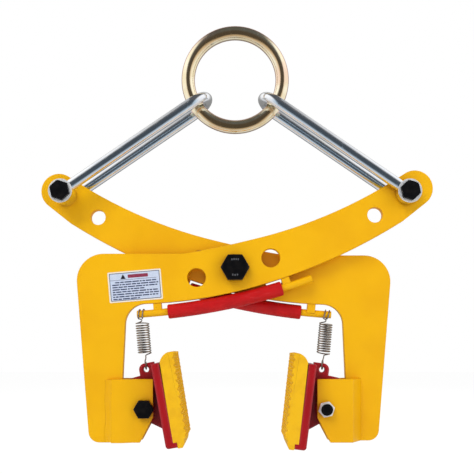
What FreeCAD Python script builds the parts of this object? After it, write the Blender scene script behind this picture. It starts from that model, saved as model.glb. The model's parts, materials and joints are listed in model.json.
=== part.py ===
"""Scissor lifting clamp for kerb stones, slabs and plates.

Millimetres, +Z up, X across the jaws, Y along the pivot bolt with the front at -Y.
The origin is the centre of the lifting ring. The pivot bolt lies pivot_drop below it.
"""
import FreeCAD, Part
import math
import os
import re

import Sketcher

V = FreeCAD.Vector
Turn = FreeCAD.Rotation
LEFT, RIGHT = -1, 1
FRONT, REAR = -1, 1

SIZES = {
    # lifting ring and the two U-shaped links
    "ring_centre_radius": 46,
    "ring_bar_radius": 6.5,
    "link_bar_radius": 5.4,
    "link_leg_offset": 18,
    "link_ring_slack": 0.5,
    "link_eye_radius": 11.4,
    "link_bolt_radius": 6,
    "link_flat": 17,
    "link_head_height": 4,
    "link_nut_flat": 18,
    "link_nut_height": 9.5,
    "link_bush_radius": 7.35,
    "link_spacer_radius": 10,
    # pivot
    "pivot_drop": 185,
    "pivot_bolt_radius": 8,
    "pivot_flat": 24,
    "pivot_head_height": 10,
    "pivot_nut_flat": 24,
    "pivot_nut_height": 12,
    "pivot_sleeve_radius": 8.95,
    "pivot_hole_radius": 9,
    "pivot_washer_radius": 15,
    "pivot_washer_thickness": 3,
    # arms, in distances from the pivot
    "plate_thickness": 8,
    "plate_offset": 7,
    "link_hole_across": 165.9,
    "link_hole_up": 72.1,
    "spare_link_across": 135,
    "spare_link_up": 51.2,
    "hook_side_hole_across": 37.3,
    "hook_side_hole_drop": 9.3,
    "link_side_hole_across": 34.4,
    "link_side_hole_up": 9.6,
    "boss_across": 173.4,
    "boss_up": 76.7,
    "boss_radius": 17.5,
    "hook_top": 13.8,
    "hook_bottom": 168.5,
    "hook_shoulder_radius": 26,
    "hook_toe_radius": 10.5,
    "hook_throat_radius": 20,
    # handle rods, bent to an arc that runs below the arm's lower edge
    "rod_offset": 8,
    "rod_arc_radius": 601.8,
    "rod_arc_across": 130.5,
    "rod_arc_up": 556.1,
    "rod_radius": 3.5,
    "rod_start_angle": 3.4,
    "rod_end_angle": 19.9,
    "grip_radius": 7,
    "grip_start_angle": 6.25,
    "grip_end_angle": 17,
    "tab_length": 8,
    "tab_width": 6,
    "tab_height": 12,
    "first_tab_angle": 4.95,
    "second_tab_angle": 17.15,
    # fork cheeks on the hooks
    "cheek_thickness": 5,
    "cheek_gap": 16,
    "cheek_front": 79.1,
    "cheek_top": 107.3,
    "cheek_bottom": 168.4,
    "cheek_corner_across": 91.8,
    "cheek_corner_up": 24,
    # tilting jaws, hung on bolts in the cheeks
    "pad_bolt_across": 87.5,
    "pad_bolt_drop": 136,
    "pad_bolt_radius": 5,
    "pad_flat": 17,
    "pad_head_height": 6.4,
    "pad_nut_flat": 14,
    "pad_nut_height": 5,
    "pad_bush_radius": 6.5,
    "jaw_tube_radius": 9,
    "jaw_tube_length": 15.6,
    "jaw_width": 60,
    "web_thickness": 6,
    "ear_hole_radius": 2.75,
    "ear_hole_out": 7.4,
    "ear_hole_up": 37,
    "ear_loop_rise": 4.6,
    "left_tilt": 10.3,
    "right_tilt": 7.2,
    # springs
    "spring_radius": 6.2,
    "spring_wire_radius": 0.6,
    "spring_turns": 12.5,
    "spring_loop_radius": 4.4,
    "spring_bottom_leg": 7,
    "spring_top_leg": 4.6,
    "spring_leg_bend": 2,
    "spring_anchor_across": 90.7,
    # sticker on the front arm
    "label_length": 52,
    "label_height": 29.5,
    "label_thickness": 0.4,
    "label_across": 97.6,
    "label_drop": 16.6,
    "label_angle": 4.8,
    # bolts and nuts
    "bolt_tip_chamfer": 1,
    "nut_collar_height": 3,
    "link_thread_end": 5,
    "pivot_thread_end": 6,
    "pad_thread_end": 3.5,
    # fits
    "running_gap": 0.05,
    "side_play": 0.1,
}

CHAMFER_SHARE = 0.475  # radius of a hexagon's turned face, as a share of its width across flats
COLLAR_SHARE = 0.43  # radius of a lock nut's collar, as a share of its width across flats
THROUGH_ALL = "200"  # deeper than any part here, for holes cut to both sides

doc = FreeCAD.newDocument("lifting_clamp")
sheet = doc.addObject("Spreadsheet::Sheet", "sizes")
for row, (alias, number) in enumerate(SIZES.items(), start=1):
    sheet.set(f"A{row}", alias.replace("_", " "))
    sheet.set(f"B{row}", str(number))
    sheet.setAlias(f"B{row}", alias)
doc.recompute()

nodes = []


# ---------------------------------------------------------------- shared helpers

def size(alias):
    """One driving dimension, read from the sheet."""
    return float(sheet.get(alias))


def linked(text):
    """The same expression with each dimension's name pointing at the sheet."""
    return re.sub(r"[a-z_]{4,}", lambda m: "sizes." + m.group() if m.group() in SIZES else m.group(), text)


def bind(thing, **expressions):
    for name, text in expressions.items():
        thing.setExpression(name, linked(text))
    return thing


def place(thing, x, y, z, turn=Turn()):
    """Turn a sub-part, then move it to a point given as three expressions."""
    thing.Placement = FreeCAD.Placement(V(0, 0, 0), turn)
    for axis, text in zip("xyz", (x, y, z)):
        thing.setExpression(f"Placement.Base.{axis}", linked(text))
    return thing


def node(thing, label):
    """Count a finished object as one sub-part of the clamp."""
    thing.Label = label
    nodes.append(thing)
    return thing


def combine(kind, parts):
    """A Part boolean: MultiFuse, Cut or Common of the given objects."""
    joined = doc.addObject("Part::" + kind, kind.lower())
    if kind == "MultiFuse":
        joined.Shapes = parts
        joined.Refine = True
    else:
        joined.Base, joined.Tool = parts
    return joined


def cylinder(radius, height, base="0"):
    """A cylinder along Z whose lower end is at the height given by base."""
    solid = bind(doc.addObject("Part::Cylinder", "cylinder"), Radius=radius, Height=height)
    return place(solid, "0", "0", base)


def tube(outer, inner, length):
    return combine("Cut", [cylinder(outer, length), cylinder(inner, length)])


def hexagon(flat, height, base, chamfer_at_top):
    """A hexagonal prism along Z whose outer end has its corners turned off at 30 degrees."""
    prism = bind(doc.addObject("Part::Prism", "hexagon"), Circumradius=f"{flat} / sqrt(3)", Height=height)
    place(prism, "0", "0", base)
    face = f"{CHAMFER_SHARE} * {flat}"
    root = f"{face} + sqrt(3) * ({height})"
    small, large = ("Radius2", "Radius1") if chamfer_at_top else ("Radius1", "Radius2")
    cone = bind(doc.addObject("Part::Cone", "corner_cone"), Height=height, **{small: face, large: root})
    place(cone, "0", "0", base)
    return combine("Common", [prism, cone])


def facing(front_or_rear, spin=0):
    """Turn a part made along +Z so that its far end points to the front or the rear."""
    return Turn(V(1, 0, 0), -90 * front_or_rear).multiply(Turn(V(0, 0, 1), spin))


def new_body(name):
    return doc.addObject("PartDesign::Body", name)


def new_sketch(body, name, plane="XZ_Plane"):
    sketch = body.newObject("Sketcher::SketchObject", name)
    origin_plane = next(f for f in body.Origin.OriginFeatures if f.Role == plane)
    sketch.AttachmentSupport = [(origin_plane, "")]
    sketch.MapMode = "FlatFace"
    return sketch


def draw_outline(sketch, points, side=RIGHT):
    """Closed outline through (across, up) points; a three-number entry is a point an arc passes through."""
    corners = [V(side * p[0], p[1], 0) for p in points]
    kinds = [len(p) == 3 for p in points]
    count = len(points)
    index = 0
    while index < count:
        start = corners[index]
        if kinds[(index + 1) % count]:
            sketch.addGeometry(Part.Arc(start, corners[index + 1], corners[(index + 2) % count]), False)
            index += 2
        else:
            sketch.addGeometry(Part.LineSegment(start, corners[(index + 1) % count]), False)
            index += 1


def draw_circle(sketch, x, up, radius):
    """A circle tied to the sketch's origin; x and up are a sign and a dimension's name, or 0."""
    centre = []
    for text in (x, up):
        sign = -1 if text.startswith("-") else 1
        centre.append(0 if text == "0" else sign * size(text.lstrip("+-")))
    index = sketch.addGeometry(Part.Circle(V(centre[0], centre[1], 0), V(0, 0, 1), size(radius)), False)
    number = sketch.addConstraint(Sketcher.Constraint("Radius", index, size(radius)))
    sketch.setExpression(f"Constraints[{number}]", linked(radius))
    if x == up == "0":
        sketch.addConstraint(Sketcher.Constraint("Coincident", index, 3, -1, 1))
        return
    for kind, text in (("DistanceX", x), ("DistanceY", up)):
        name = text.lstrip("+-")
        ends = (index, 3, -1, 1) if text.startswith("-") else (-1, 1, index, 3)
        number = sketch.addConstraint(Sketcher.Constraint(kind, *ends, size(name)))
        sketch.setExpression(f"Constraints[{number}]", linked(name))


def pad_both_ways(body, sketch, length):
    """Pad a sketch to equal depths on both sides of its plane."""
    pad = body.newObject("PartDesign::Pad", "pad")
    pad.Profile = sketch
    pad.Midplane = True
    return bind(pad, Length=length)


def pocket_through(body, sketch, length=THROUGH_ALL):
    """Cut a sketch through the body, to both sides of the sketch's plane."""
    pocket = body.newObject("PartDesign::Pocket", "pocket")
    pocket.Profile = sketch
    pocket.Midplane = True
    return bind(pocket, Length=length)


def round_corner(body, x, z, radius):
    """Fillet the edge along Y that lies nearest to (x, z)."""
    doc.recompute()
    base = body.Tip
    nearest = None
    for number, edge in enumerate(base.Shape.Edges, start=1):
        first, last = edge.Vertexes[0].Point, edge.Vertexes[-1].Point
        if abs(first.y - last.y) < 1:
            continue
        distance = math.hypot(first.x - x, first.z - z)
        if nearest is None or distance < nearest[0]:
            nearest = (distance, f"Edge{number}")
    fillet = body.newObject("PartDesign::Fillet", "corner")
    fillet.Base = (base, [nearest[1]])
    return bind(fillet, Radius=radius)


# ---------------------------------------------------------------- bolts and nuts

def hex_bolt(label, kind, length, x, y, z, head_side, spin=0):
    """A hex bolt whose head bears on the plane at y, on the given side."""
    radius = f"{kind}_bolt_radius"
    head = hexagon(f"{kind}_flat", f"{kind}_head_height", f"-{kind}_head_height", chamfer_at_top=False)
    shank = cylinder(radius, f"{length} - bolt_tip_chamfer")
    tip = bind(
        doc.addObject("Part::Cone", "tip"),
        Radius1=radius, Radius2=f"{radius} - bolt_tip_chamfer", Height="bolt_tip_chamfer",
    )
    place(tip, "0", "0", f"{length} - bolt_tip_chamfer")
    bolt = combine("MultiFuse", [head, shank, tip])
    return node(place(bolt, x, y, z, facing(-head_side, spin)), label)


def lock_nut(label, kind, x, y, z, outward, spin=0):
    """A self-locking nut: a hexagon with a round collar that holds the locking ring."""
    height = f"{kind}_nut_height"
    block = hexagon(f"{kind}_nut_flat", height, "0", chamfer_at_top=True)
    collar = cylinder(f"{COLLAR_SHARE} * {kind}_nut_flat", "nut_collar_height", height)
    bore = cylinder(f"{kind}_bolt_radius", f"{height} + nut_collar_height")
    nut = combine("Cut", [combine("MultiFuse", [block, collar]), bore])
    return node(place(nut, x, y, z, facing(outward, spin)), label)


# ---------------------------------------------------------------- ring and links

def master_ring():
    ring = bind(doc.addObject("Part::Torus", "ring"), Radius1="ring_centre_radius", Radius2="ring_bar_radius")
    return node(place(ring, "0", "0", "0", facing(REAR)), "master_ring")


def link_reach():
    """Distance from a link's bolt to the ring's centre."""
    return math.hypot(size("link_hole_across"), size("pivot_drop") - size("link_hole_up"))


def link(label, side):
    """U-bent bar with its bend through the ring, and an eye on each leg's end."""
    leg = size("link_leg_offset")
    bar = size("link_bar_radius")
    apex_from_ring = size("ring_centre_radius") - size("ring_bar_radius") - bar - size("link_ring_slack")
    bend = link_reach() - apex_from_ring - leg
    body = new_body(label)
    path = new_sketch(body, "path", "XY_Plane")
    path.addGeometry(Part.LineSegment(V(0, -leg, 0), V(bend, -leg, 0)), False)
    path.addGeometry(Part.Arc(V(bend, -leg, 0), V(bend + leg, 0, 0), V(bend, leg, 0)), False)
    path.addGeometry(Part.LineSegment(V(bend, leg, 0), V(0, leg, 0)), False)
    section = new_sketch(body, "section", "YZ_Plane")
    index = section.addGeometry(Part.Circle(V(-leg, 0, 0), V(0, 0, 1), bar), False)
    number = section.addConstraint(Sketcher.Constraint("Radius", index, bar))
    section.setExpression(f"Constraints[{number}]", linked("link_bar_radius"))
    pipe = body.newObject("PartDesign::AdditivePipe", "bar")
    pipe.Profile = section
    pipe.Spine = path
    doc.recompute()
    eyes = new_sketch(body, "eyes")
    draw_circle(eyes, "0", "0", "link_eye_radius")
    pad_both_ways(body, eyes, "2 * (link_leg_offset + link_bar_radius)")
    doc.recompute()
    gap = new_sketch(body, "gap")
    index = gap.addGeometry(Part.Circle(V(0, 0, 0), V(0, 0, 1), size("link_eye_radius") + 1), False)
    gap.addConstraint(Sketcher.Constraint("Coincident", index, 3, -1, 1))
    pocket_through(body, gap, "2 * (link_leg_offset - link_bar_radius)")
    holes = new_sketch(body, "holes")
    draw_circle(holes, "0", "0", "link_bolt_radius")
    pocket_through(body, holes)
    slope = math.degrees(math.atan2(size("pivot_drop") - size("link_hole_up"), size("link_hole_across")))
    turn = Turn(V(0, 1, 0), 180 + slope if side == RIGHT else -slope)
    place(body, f"{side} * link_hole_across", "0", "link_hole_up - pivot_drop", turn)
    return node(body, label)


def link_spacers(label, side):
    """A thin washer and a long tube that keep the arm's end in the middle of the link."""
    reach = "(link_leg_offset - link_bar_radius)"
    near = f"({reach} - plate_offset - plate_thickness / 2)"
    far = f"({reach} + plate_offset - plate_thickness / 2)"
    bore = "link_bolt_radius + running_gap"
    washer = tube("link_spacer_radius", bore, f"{near} - 2 * side_play")
    place(washer, "0", "0", f"side_play - {reach}")
    spacer = tube("link_spacer_radius", bore, f"{far} - 2 * side_play")
    place(spacer, "0", "0", f"{reach} - {far} + side_play")
    pair = combine("MultiFuse", [washer, spacer])
    plate_side = FRONT if side == RIGHT else REAR
    place(pair, f"{side} * link_hole_across", "0", "link_hole_up - pivot_drop", facing(-plate_side))
    return node(pair, label)


def link_fasteners(name, side):
    """The bolt goes in from the front, through both eyes of the link."""
    bearing = "(link_leg_offset + link_bar_radius)"
    x = f"{side} * link_hole_across"
    z = "link_hole_up - pivot_drop"
    length = f"2 * {bearing} + link_nut_height + link_thread_end"
    hex_bolt(f"{name}_link_bolt", "link", length, x, f"{FRONT} * {bearing}", z, FRONT, spin=17)
    lock_nut(f"{name}_link_nut", "link", x, f"{REAR} * {bearing}", z, REAR, spin=8)


def link_bush(label, side):
    plate_side = FRONT if side == RIGHT else REAR
    bush = tube("link_bush_radius", "link_bolt_radius + running_gap", "plate_thickness")
    y = f"{plate_side} * plate_offset - plate_thickness / 2"
    place(bush, f"{side} * link_hole_across", y, "link_hole_up - pivot_drop", facing(REAR))
    return node(bush, label)


# ---------------------------------------------------------------- pivot

def pivot():
    """Bolt, hidden sleeve and spacer, and the washer and nut behind the rear plate."""
    face = "(plate_offset + plate_thickness / 2 + 2 * side_play)"
    down = "-pivot_drop"
    length = f"2 * {face} + pivot_washer_thickness + pivot_nut_height + pivot_thread_end"
    hex_bolt("pivot_bolt", "pivot", length, "0", f"-{face}", down, FRONT)
    sleeve = tube("pivot_sleeve_radius", "pivot_bolt_radius + running_gap", f"2 * {face}")
    node(place(sleeve, "0", f"-{face}", down, facing(REAR)), "pivot_sleeve")
    gap = "(2 * plate_offset - plate_thickness)"
    spacer = tube("pivot_washer_radius", "pivot_sleeve_radius + running_gap", f"{gap} - 2 * side_play")
    node(place(spacer, "0", f"side_play - {gap} / 2", down, facing(REAR)), "arm_spacer")
    washer = tube("pivot_washer_radius", "pivot_bolt_radius + running_gap", "pivot_washer_thickness")
    node(place(washer, "0", face, down, facing(REAR)), "pivot_washer")
    lock_nut("pivot_nut", "pivot", "0", f"{face} + pivot_washer_thickness", down, REAR)


# ---------------------------------------------------------------- arms

def boss_point(angle):
    """A point on the rounded end of an arm, at an angle in degrees above the horizontal."""
    turn = math.radians(angle)
    radius = size("boss_radius")
    return size("boss_across") + radius * math.cos(turn), size("boss_up") + radius * math.sin(turn)


def arm(label, side):
    """Plate with a hook on one side of the pivot and the link's boss on the other (side)."""
    top, bottom = size("hook_top"), -size("hook_bottom")
    shoulder, toe_out, toe_in, throat = (-155, top), (-140.8, bottom), (-111.5, bottom), (-105.3, -34.7)
    outline = [
        boss_point(-50.8), (*boss_point(35), "arc"),
        boss_point(127.1), (91.1, 52, "arc"),
        (16.6, 27.6), (-12, 21, "arc"),
        (-50, top), shoulder, toe_out, toe_in, throat, (-40, -30.6, "arc"),
        (30.4, -14.9), (100.5, 12, "arc"),
        (162.4, 45.6),
    ]
    body = new_body(label)
    plate = new_sketch(body, "plate")
    draw_outline(plate, outline, side)
    pad_both_ways(body, plate, "plate_thickness")
    doc.recompute()
    holes = new_sketch(body, "holes")
    hook, boss = ("-", "+") if side == RIGHT else ("+", "-")
    draw_circle(holes, "0", "0", "pivot_hole_radius")
    draw_circle(holes, hook + "hook_side_hole_across", "-hook_side_hole_drop", "pivot_hole_radius")
    draw_circle(holes, boss + "link_side_hole_across", "+link_side_hole_up", "pivot_hole_radius")
    draw_circle(holes, boss + "link_hole_across", "+link_hole_up", "link_bush_radius")
    draw_circle(holes, boss + "spare_link_across", "+spare_link_up", "link_bush_radius")
    pocket_through(body, holes)
    for corner, radius in (
        (shoulder, "hook_shoulder_radius"),
        (toe_out, "hook_toe_radius"),
        (throat, "hook_throat_radius"),
    ):
        round_corner(body, side * corner[0], corner[1], radius)
    plate_side = FRONT if side == RIGHT else REAR
    place(body, "0", f"{plate_side} * plate_offset", "-pivot_drop")
    return node(body, label)


def rod_frame(side, angle):
    """Rotation whose X points from the rod's arc centre to the rod and whose Y follows the rod."""
    turn = math.radians(angle)
    outward = V(side * math.sin(turn), 0, -math.cos(turn))
    along = V(side * math.cos(turn), 0, math.sin(turn))
    return Turn(outward, along, V(0, -side, 0), "XYZ")


def rod_segment(side, radius, start, end):
    """A round bar along the rod's arc between two angles from straight down."""
    bar = doc.addObject("Part::Torus", "bar")
    bind(bar, Radius1="rod_arc_radius", Radius2=radius, Angle3=f"{end} - {start}")
    plate_side = FRONT if side == RIGHT else REAR
    y = f"{plate_side} * rod_offset"
    return place(bar, f"{-side} * rod_arc_across", y, "rod_arc_up - pivot_drop", rod_frame(side, size(start)))


def rod_point(side, angle):
    """Point on the rod's centreline at an angle from straight down."""
    turn = math.radians(angle)
    radius = size("rod_arc_radius")
    x = side * (radius * math.sin(turn) - size("rod_arc_across"))
    z = size("rod_arc_up") - size("pivot_drop") - radius * math.cos(turn)
    plate_side = FRONT if side == RIGHT else REAR
    return V(x, plate_side * size("rod_offset"), z)


def weld_tab(side, angle):
    """Small block that stands on the rod and reaches up to the arm's lower edge."""
    tab = bind(doc.addObject("Part::Box", "tab"), Length="tab_height", Width="tab_length", Height="tab_width")
    turn = rod_frame(side, size(angle))
    plate_side = FRONT if side == RIGHT else REAR
    foot = rod_point(side, size(angle))
    foot.y = plate_side * size("plate_offset")
    shift = turn.multVec(V(-size("tab_height"), 0, -size("tab_width") / 2))
    tab.Placement = FreeCAD.Placement(foot.add(shift), turn)
    return tab


def handle_rod(label, side, plate):
    """Rod with two tabs whose tops follow the arm's edge they are welded to."""
    rod = rod_segment(side, "rod_radius", "rod_start_angle", "rod_end_angle")
    tabs = [weld_tab(side, angle) for angle in ("first_tab_angle", "second_tab_angle")]
    whole = combine("MultiFuse", [rod, *tabs])
    return node(combine("Cut", [whole, plate]), label)


def handle_grip(label, side):
    """Soft sleeve over the rod."""
    outer = rod_segment(side, "grip_radius", "grip_start_angle", "grip_end_angle")
    inner = rod_segment(side, "rod_radius", "rod_start_angle", "rod_end_angle")
    return node(combine("Cut", [outer, inner]), label)


def sticker():
    """Thin plate on the front arm's hook, tilted a little."""
    label = bind(
        doc.addObject("Part::Box", "sticker"),
        Length="label_length", Width="label_thickness", Height="label_height",
    )
    turn = Turn(V(0, -1, 0), size("label_angle"))
    front = size("plate_offset") + size("plate_thickness") / 2 + size("label_thickness")
    centre = V(-size("label_across"), -front, -size("label_drop") - size("pivot_drop"))
    corner = turn.multVec(V(-size("label_length") / 2, 0, -size("label_height") / 2))
    label.Placement = FreeCAD.Placement(centre.add(corner), turn)
    return node(label, "label_plate")


# ---------------------------------------------------------------- jaws

def cheek(label, side, face_side):
    """Fork plate welded by its foot to one face of the hook and joggled to flank the jaw's web."""
    thickness = size("cheek_thickness")
    hook_face = side * size("plate_offset") + face_side * size("plate_thickness") / 2
    raised = face_side * size("cheek_gap") / 2
    front = size("cheek_front")
    outer_face = raised + face_side * thickness
    if face_side * (raised - hook_face) > 0:
        inner = [(124, hook_face), (115.5, hook_face), (108.5, raised), (front, raised)]
        outer = [(front, outer_face), (113.5, outer_face)]
    else:
        foot_face = hook_face + face_side * thickness
        inner = [(119, hook_face), (108.4, hook_face), (99.2, raised), (front, raised)]
        outer = [(front, outer_face), (99.2, outer_face), (108.4, foot_face), (119, foot_face)]
    body = new_body(label)
    plan = new_sketch(body, "plan", "XY_Plane")
    draw_outline(plan, inner + outer, side)
    pad = body.newObject("PartDesign::Pad", "pad")
    pad.Profile = plan
    bind(pad, Length="cheek_bottom - cheek_top")
    doc.recompute()
    corner = new_sketch(body, "corner")
    across, up = size("cheek_corner_across"), size("cheek_corner_up")
    draw_outline(corner, [(front - 1, up), (front, up), (across, 0), (across, -1), (front - 1, -1)], side)
    pocket_through(body, corner)
    hole = new_sketch(body, "hole")
    index = hole.addGeometry(
        Part.Circle(
            V(side * size("pad_bolt_across"), size("cheek_bottom") - size("pad_bolt_drop"), 0),
            V(0, 0, 1), size("pad_bolt_radius"),
        ), False)
    number = hole.addConstraint(Sketcher.Constraint("Radius", index, size("pad_bolt_radius")))
    hole.setExpression(f"Constraints[{number}]", linked("pad_bolt_radius"))
    pocket_through(body, hole)
    place(body, "0", "0", "-pivot_drop - cheek_bottom")
    return node(body, label)


def jaw_turn(side):
    """A jaw leans back at the top: clockwise on the right and counter-clockwise on the left."""
    tilt = size("left_tilt") if side == LEFT else -size("right_tilt")
    return Turn(V(0, -1, 0), tilt)


def place_jaw_part(thing, side, y="0", turn=None):
    x = f"{side} * pad_bolt_across"
    return place(thing, x, y, "-pivot_drop - pad_bolt_drop", turn or jaw_turn(side))


def pad_carrier(label, side):
    """Back plate with a lip under the pad, a web with the spring ear, and the tube the jaw turns on.

    Outlines are drawn from the bolt's axis: first number towards the stone, second up.
    """
    body = new_body(label)
    back = new_sketch(body, "back")
    draw_outline(back, [
        (15.9, 41.4), (23.5, 41.4), (23.5, -35.1), (27.2, -35.1), (27.2, -39.9),
        (19, -39.9), (16.8, -39, "arc"), (15.9, -36.9),
    ], -side)
    pad_both_ways(body, back, "jaw_width")
    doc.recompute()
    web = new_sketch(body, "web")
    draw_outline(web, [
        (16, 43.2), (6.5, 43.2), (2.3, 41.4, "arc"), (0.5, 37.2), (0.5, 32), (-10, 31),
        (-12, 10), (-12, -8), (4, -16.4), (16, -25),
    ], -side)
    pad_both_ways(body, web, "web_thickness")
    doc.recompute()
    tube_end = new_sketch(body, "tube_end")
    draw_circle(tube_end, "0", "0", "jaw_tube_radius")
    pad_both_ways(body, tube_end, "jaw_tube_length")
    doc.recompute()
    holes = new_sketch(body, "holes")
    draw_circle(holes, "0", "0", "pad_bush_radius")
    draw_circle(holes, ("+" if side == LEFT else "-") + "ear_hole_out", "+ear_hole_up", "ear_hole_radius")
    pocket_through(body, holes)
    return node(place_jaw_part(body, side), label)


def pad_block(label, side):
    """Gripping pad on the carrier, out to the tips of its nubs."""
    body = new_body(label)
    profile = new_sketch(body, "profile")
    draw_outline(profile, [
        (23.5, -35), (27.5, -35), (27.5, -40.8), (32.6, -40.8), (36.5, -37, "arc"), (37.7, -31.5),
        (37.7, 50.4), (32.6, 50.6), (27, 47.6, "arc"), (23.5, 42.2),
    ], -side)
    pad_both_ways(body, profile, "jaw_width")
    return node(place_jaw_part(body, side), label)


def jaw_fasteners(name, side):
    """Bush in the jaw's tube and the bolt through the cheeks: head in front on the left, behind on the right."""
    head_side = FRONT if side == LEFT else REAR
    bush = tube("pad_bush_radius", "pad_bolt_radius + running_gap", "jaw_tube_length")
    place_jaw_part(bush, side, "-jaw_tube_length / 2", facing(REAR))
    node(bush, f"{name}_pad_bush")
    bearing = "(cheek_gap / 2 + cheek_thickness)"
    x = f"{side} * pad_bolt_across"
    z = "-pivot_drop - pad_bolt_drop"
    length = f"2 * {bearing} + pad_nut_height + pad_thread_end"
    hex_bolt(f"{name}_pad_bolt", "pad", length, x, f"{head_side} * {bearing}", z, head_side)
    lock_nut(f"{name}_pad_nut", "pad", x, f"{-head_side} * {bearing}", z, -head_side, spin=12)


# ---------------------------------------------------------------- springs

def stick(start, end, radius):
    """Straight piece of wire between two points, with round ends."""
    along = end.sub(start)
    rod = Part.makeCylinder(radius, along.Length, start, along)
    return [rod, Part.makeSphere(radius, start), Part.makeSphere(radius, end)]


def spring(label, side):
    """Extension spring from the rod's end down to the carrier's ear, with a closed loop at each end.

    side is the jaw's side; the rod belongs to the arm whose hook carries that jaw.
    """
    wire, loop, radius = size("spring_wire_radius"), size("spring_loop_radius"), size("spring_radius")
    across = size("rod_arc_across") - size("spring_anchor_across")
    angle = math.degrees(math.asin(across / size("rod_arc_radius")))
    top = rod_point(-side, angle)
    bolt = V(side * size("pad_bolt_across"), 0, -size("pivot_drop") - size("pad_bolt_drop"))
    ear_loop = V(-side * size("ear_hole_out"), 0, size("ear_hole_up") + size("ear_loop_rise"))
    bottom = bolt.add(jaw_turn(side).multVec(ear_loop))
    span = top.sub(bottom)
    bend = size("spring_leg_bend")
    coil_start = loop + size("spring_bottom_leg")
    coil_height = span.Length - loop - size("spring_top_leg") - coil_start
    turns = size("spring_turns")
    helix = Part.makeHelix(coil_height / turns, coil_height, radius)
    section = Part.Wire(Part.Circle(V(radius, 0, 0), V(0, 1, 0), wire).toShape())
    coil = Part.Wire(helix).makePipeShell([section], True, True)
    coil.translate(V(0, 0, coil_start))
    coil_end = coil_start + coil_height
    far = radius * (1 if turns == int(turns) else -1)
    pieces = [coil]
    pieces += stick(V(radius, 0, coil_start), V(0, 0, coil_start - bend), wire)
    pieces += stick(V(0, 0, coil_start - bend), V(0, 0, loop), wire)
    pieces += stick(V(far, 0, coil_end), V(0, 0, coil_end + bend), wire)
    pieces += stick(V(0, 0, coil_end + bend), V(0, 0, span.Length - loop), wire)
    for height in (0, span.Length):
        pieces.append(Part.makeTorus(loop, wire, V(0, 0, height), V(1, 0, 0)))
    feature = doc.addObject("Part::Feature", label)
    feature.Shape = pieces[0].multiFuse(pieces[1:]).removeSplitter()
    feature.Placement = FreeCAD.Placement(bottom, Turn(V(0, 0, 1), span))
    return node(feature, label)


# ---------------------------------------------------------------- the whole clamp

def build():
    master_ring()
    pivot()
    for name, side in (("left", LEFT), ("right", RIGHT)):
        link(f"{name}_link", side)
        link_spacers(f"{name}_link_spacers", side)
        link_fasteners(name, side)
        link_bush(f"{name}_link_bush", side)
    for name, side in (("front", RIGHT), ("rear", LEFT)):
        plate = arm(f"{name}_arm", side)
        handle_rod(f"{name}_handle_rod", side, plate)
        handle_grip(f"{name}_handle_grip", side)
    sticker()
    for name, side in (("left", LEFT), ("right", RIGHT)):
        cheek(f"{name}_front_cheek", side, FRONT)
        cheek(f"{name}_rear_cheek", side, REAR)
        pad_carrier(f"{name}_pad_carrier", side)
        pad_block(f"{name}_pad", side)
        jaw_fasteners(name, side)
        spring(f"{name}_spring", side)


def check():
    """Stop if any object failed to recompute or any sub-part isn't a sound solid."""
    doc.recompute()
    for thing in doc.Objects:
        if "Invalid" in thing.State or "Error" in thing.State:
            raise SystemExit(f"{thing.Label} failed: {thing.State}")
    for thing in nodes:
        if thing.Shape.isNull() or not thing.Shape.isValid() or not thing.Shape.Solids:
            raise SystemExit(f"{thing.Label} has no sound shape")


def write():
    os.makedirs("parts", exist_ok=True)
    for thing in nodes:
        thing.Shape.exportStep(os.path.join("parts", thing.Label + ".step"))


build()
check()
write()
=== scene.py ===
"""Looks of the scissor lifting clamp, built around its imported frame.

Metres, +Z up, X across the jaws, front at -Y, origin at the lifting ring's centre.
Lengths written in millimetres are multiplied by MM.
"""

import json
import math

import bpy
import numpy as np
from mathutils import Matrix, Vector


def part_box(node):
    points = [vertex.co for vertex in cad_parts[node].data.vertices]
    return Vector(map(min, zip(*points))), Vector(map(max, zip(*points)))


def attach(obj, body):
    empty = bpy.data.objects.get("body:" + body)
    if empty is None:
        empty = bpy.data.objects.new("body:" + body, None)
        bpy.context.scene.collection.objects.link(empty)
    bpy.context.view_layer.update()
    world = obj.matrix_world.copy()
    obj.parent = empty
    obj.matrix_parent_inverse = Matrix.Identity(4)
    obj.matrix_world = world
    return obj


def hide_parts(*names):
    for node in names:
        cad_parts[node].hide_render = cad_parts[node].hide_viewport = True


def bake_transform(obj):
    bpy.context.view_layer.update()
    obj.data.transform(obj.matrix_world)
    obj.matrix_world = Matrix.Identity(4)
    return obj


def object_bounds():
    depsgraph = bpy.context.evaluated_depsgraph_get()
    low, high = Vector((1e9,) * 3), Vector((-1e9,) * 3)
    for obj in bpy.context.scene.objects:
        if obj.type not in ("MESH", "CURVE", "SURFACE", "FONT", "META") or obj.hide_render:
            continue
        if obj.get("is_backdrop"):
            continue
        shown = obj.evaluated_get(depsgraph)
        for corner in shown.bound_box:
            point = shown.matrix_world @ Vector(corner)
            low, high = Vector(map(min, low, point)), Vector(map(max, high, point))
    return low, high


MM = 0.001
LEFT, RIGHT = -1, 1
FRONT, REAR = -1, 1
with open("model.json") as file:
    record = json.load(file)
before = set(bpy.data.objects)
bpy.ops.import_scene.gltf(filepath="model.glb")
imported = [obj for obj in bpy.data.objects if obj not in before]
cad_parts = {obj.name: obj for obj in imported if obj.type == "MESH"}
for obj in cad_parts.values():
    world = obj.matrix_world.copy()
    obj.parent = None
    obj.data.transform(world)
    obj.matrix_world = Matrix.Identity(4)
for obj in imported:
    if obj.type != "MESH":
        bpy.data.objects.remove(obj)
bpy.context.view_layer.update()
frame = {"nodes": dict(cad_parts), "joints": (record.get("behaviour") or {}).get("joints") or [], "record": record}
nodes = frame["nodes"]
joints = {joint["name"]: joint for joint in frame["joints"]}
slots = {part["node"]: part["material_slot"] for part in frame["record"]["subparts"]}


# ---------------------------------------------------------------- materials

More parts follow.
